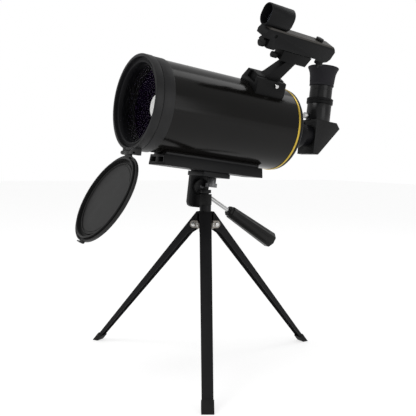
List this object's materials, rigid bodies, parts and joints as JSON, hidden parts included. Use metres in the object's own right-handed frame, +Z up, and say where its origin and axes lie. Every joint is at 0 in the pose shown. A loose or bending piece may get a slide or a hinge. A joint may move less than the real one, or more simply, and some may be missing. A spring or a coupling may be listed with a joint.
{
  "type": "schmidt cassegrain telescope",
  "caption": "Compact catadioptric telescope with flip-down front cap, angled eyepiece, dot finder and dovetail rail on a small folding pan-and-tilt tripod.",
  "frame": {"origin": "On the floor, under the middle of the bounding box", "axes": "+Z up from the floor, the tube points along -Y and slightly up, the eyepiece is at +Y, the finder is on the +X side"},
  "size_m": [0.3147, 0.395, 0.4502],
  "materials": {
    "tube_black": "gloss black enamel",
    "ring_black": "satin black anodised",
    "baffle_black": "matte black",
    "coated_glass": "multicoated meniscus glass",
    "mirror_coat": "aluminised",
    "gold": "polished gold-coloured ring",
    "rail_black": "black anodised extrusion",
    "steel": "bright steel",
    "moulded_black": "moulded black",
    "finder_grey": "moulded dark grey",
    "knob_black": "ribbed black",
    "diagonal_black": "satin black",
    "chrome_bright": "bright chrome",
    "soft_rubber": "soft black rubber",
    "clear_glass": "coated glass",
    "head_black": "black die casting",
    "screw_metal": "knurled steel",
    "zinc": "bare zinc casting",
    "leg_black": "satin black folded sheet",
    "foot_rubber": "black rubber"
  },
  "bodies": {
    "tripod": {"centre_post": "head_black", "leg_bracket": "zinc", "leg_rivets": "steel"},
    "front_leg": {"leg_front": "leg_black", "foot_front": "foot_rubber"},
    "rear_leg": {"leg_rear": "leg_black", "foot_rear": "foot_rubber"},
    "left_leg": {"leg_left": "leg_black", "foot_left": "foot_rubber"},
    "collar": {"pan_collar": "knob_black"},
    "pan": {"pan_head": "head_black"},
    "telescope": {"front_ring": "ring_black", "corrector_retainer": "ring_black", "corrector_lens": "coated_glass", "secondary_mirror": "mirror_coat", "secondary_baffle": "baffle_black", "optical_tube": "tube_black", "gold_ring": "gold", "rear_cell": "ring_black", "baffle_tube": "baffle_black", "visual_back": "ring_black", "tube_saddle": "ring_black", "dovetail_rail": "rail_black", "rail_screws": "steel", "finder_shoe": "moulded_black", "cap_hinge_pin": "steel", "head_platform": "head_black", "platform_pad": "soft_rubber", "tilt_bolt": "steel"},
    "screw": {"camera_screw": "screw_metal"},
    "handle": {"handle_rod": "chrome_bright", "handle_grip": "soft_rubber"},
    "mirror": {"primary_mirror": "mirror_coat", "mirror_carrier": "baffle_black"},
    "focuser": {"focus_shaft": "steel", "focus_knob": "knob_black"},
    "cap": {"front_cap": "moulded_black"},
    "back_screw": {"visual_back_screw": "steel"},
    "diagonal": {"diagonal_nose": "diagonal_black", "diagonal_housing": "moulded_black", "diagonal_cover": "moulded_black", "diagonal_prism": "clear_glass", "eyepiece_holder": "diagonal_black", "holder_collar": "moulded_black"},
    "eyepiece_lock": {"holder_screw": "steel"},
    "eyepiece": {"eyepiece_barrel": "chrome_bright", "eyepiece_body": "diagonal_black", "eyecup": "soft_rubber", "eyepiece_lenses": "clear_glass"},
    "finder_foot": {"finder_bracket": "moulded_black"},
    "foot_lock": {"shoe_clamp_screw": "steel"},
    "finder_swivel": {"finder_block": "moulded_black"},
    "finder": {"finder_body": "moulded_black", "finder_cover": "finder_grey", "sight_tube": "finder_grey", "sight_window": "clear_glass"},
    "dimmer": {"finder_switch": "knob_black"},
    "azimuth_adjuster": {"azimuth_knob": "knob_black"},
    "altitude_adjuster": {"altitude_knob": "knob_black"},
    "battery_lid": {"battery_cap": "knob_black"}
  },
  "joints": [
    {"name": "front_leg_fold", "type": "hinge", "parent": "tripod", "child": "front_leg", "pos_m": [0.01168, -0.03075, 0.1795], "axis": [0.512, 0.859, 0], "range_deg": [0, 40.42]},
    {"name": "rear_leg_fold", "type": "hinge", "parent": "tripod", "child": "rear_leg", "pos_m": [0.00137, -0.0123, 0.1795], "axis": [-0.9999, 0.014, 0], "range_deg": [0, 40.42]},
    {"name": "left_leg_fold", "type": "hinge", "parent": "tripod", "child": "left_leg", "pos_m": [-0.00945, -0.03045, 0.1795], "axis": [0.4879, -0.8729, 0], "range_deg": [0, 40.42]},
    {"name": "collar_turn", "type": "hinge", "parent": "tripod", "child": "collar", "pos_m": [0.0012, -0.0245, 0.2115], "axis": [0, 0, 1], "range_deg": [-90, 90]},
    {"name": "pan_turn", "type": "hinge", "parent": "tripod", "child": "pan", "pos_m": [0.0012, -0.0245, 0.2215], "axis": [0, 0, 1], "continuous": true},
    {"name": "tilt_turn", "type": "hinge", "parent": "pan", "child": "telescope", "pos_m": [0.0012, -0.0245, 0.22747], "axis": [1, 0, 0], "range_deg": [-15, 20]},
    {"name": "camera_screw_turn", "type": "hinge", "parent": "telescope", "child": "screw", "pos_m": [0.0012, -0.01524, 0.23712], "axis": [0, 0.108, 0.9942], "continuous": true},
    {"name": "handle_twist", "type": "hinge", "parent": "telescope", "child": "handle", "pos_m": [-0.0173, -0.02486, 0.22419], "axis": [0, 0.8563, -0.5165], "range_deg": [-120, 0]},
    {"name": "mirror_travel", "type": "slide", "parent": "telescope", "child": "mirror", "axis": [0, 0.9942, -0.108], "range_m": [-0.004, 0.004]},
    {"name": "focus_turn", "type": "hinge", "parent": "telescope", "child": "focuser", "pos_m": [-0.0298, 0.09329, 0.29172], "axis": [0, 0.9942, -0.108], "range_deg": [-2160, 2160]},
    {"name": "cap_hinge", "type": "hinge", "parent": "telescope", "child": "cap", "pos_m": [0.0012, -0.13542, 0.26979], "axis": [1, 0, 0], "range_deg": [-156, 0]},
    {"name": "back_screw_turn", "type": "hinge", "parent": "telescope", "child": "back_screw", "pos_m": [-0.01487, 0.1078, 0.32349], "axis": [-0.6428, 0.0827, 0.7616], "continuous": true},
    {"name": "diagonal_turn", "type": "hinge", "parent": "telescope", "child": "diagonal", "pos_m": [0.0012, 0.12462, 0.3024], "axis": [0, 0.9942, -0.108], "range_deg": [-90, 90]},
    {"name": "holder_screw_turn", "type": "hinge", "parent": "diagonal", "child": "eyepiece_lock", "pos_m": [-0.00296, 0.14807, 0.32902], "axis": [-0.2079, -0.9724, 0.1056], "continuous": true},
    {"name": "eyepiece_slide", "type": "slide", "parent": "diagonal", "child": "eyepiece", "axis": [0, 0.108, 0.9942], "range_m": [0, 0.02]},
    {"name": "foot_slide", "type": "slide", "parent": "telescope", "child": "finder_foot", "axis": [0, 0.9942, -0.108], "range_m": [0, 0.012]},
    {"name": "foot_lock_turn", "type": "hinge", "parent": "telescope", "child": "foot_lock", "pos_m": [0.05084, 0.04769, 0.35809], "axis": [0.8387, -0.0588, -0.5415], "continuous": true},
    {"name": "finder_swivel_turn", "type": "hinge", "parent": "finder_foot", "child": "finder_swivel", "pos_m": [0.05566, 0.06409, 0.39334], "axis": [0.5446, 0.0906, 0.8338], "range_deg": [-3, 3]},
    {"name": "finder_tip", "type": "hinge", "parent": "finder_swivel", "child": "finder", "pos_m": [0.05866, 0.05166, 0.39933], "axis": [0.8387, -0.0588, -0.5415], "range_deg": [-0.8, 0.8]},
    {"name": "azimuth_knob_turn", "type": "hinge", "parent": "finder_swivel", "child": "azimuth_adjuster", "pos_m": [0.05561, 0.03823, 0.39606], "axis": [0, 0.9942, -0.108], "range_deg": [-180, 180]},
    {"name": "altitude_knob_turn", "type": "hinge", "parent": "finder", "child": "altitude_adjuster", "pos_m": [0.05839, 0.11127, 0.39243], "axis": [0.5446, 0.0906, 0.8338], "range_deg": [-360, 360]},
    {"name": "dimmer_turn", "type": "hinge", "parent": "finder", "child": "dimmer", "pos_m": [0.07473, 0.09808, 0.41917], "axis": [0.5446, 0.0906, 0.8338], "range_deg": [0, 270]},
    {"name": "battery_lid_turn", "type": "hinge", "parent": "finder", "child": "battery_lid", "pos_m": [0.06209, 0.01545, 0.40858], "axis": [0, 0.9942, -0.108], "range_deg": [0, 90]}
  ],
  "couplings": [
    {"joint": "focus_turn", "follows": "mirror_travel", "rad_per_m": 9424},
    {"joint": "azimuth_knob_turn", "follows": "finder_swivel_turn", "ratio": 60},
    {"joint": "altitude_knob_turn", "follows": "finder_tip", "ratio": 450}
  ]
}
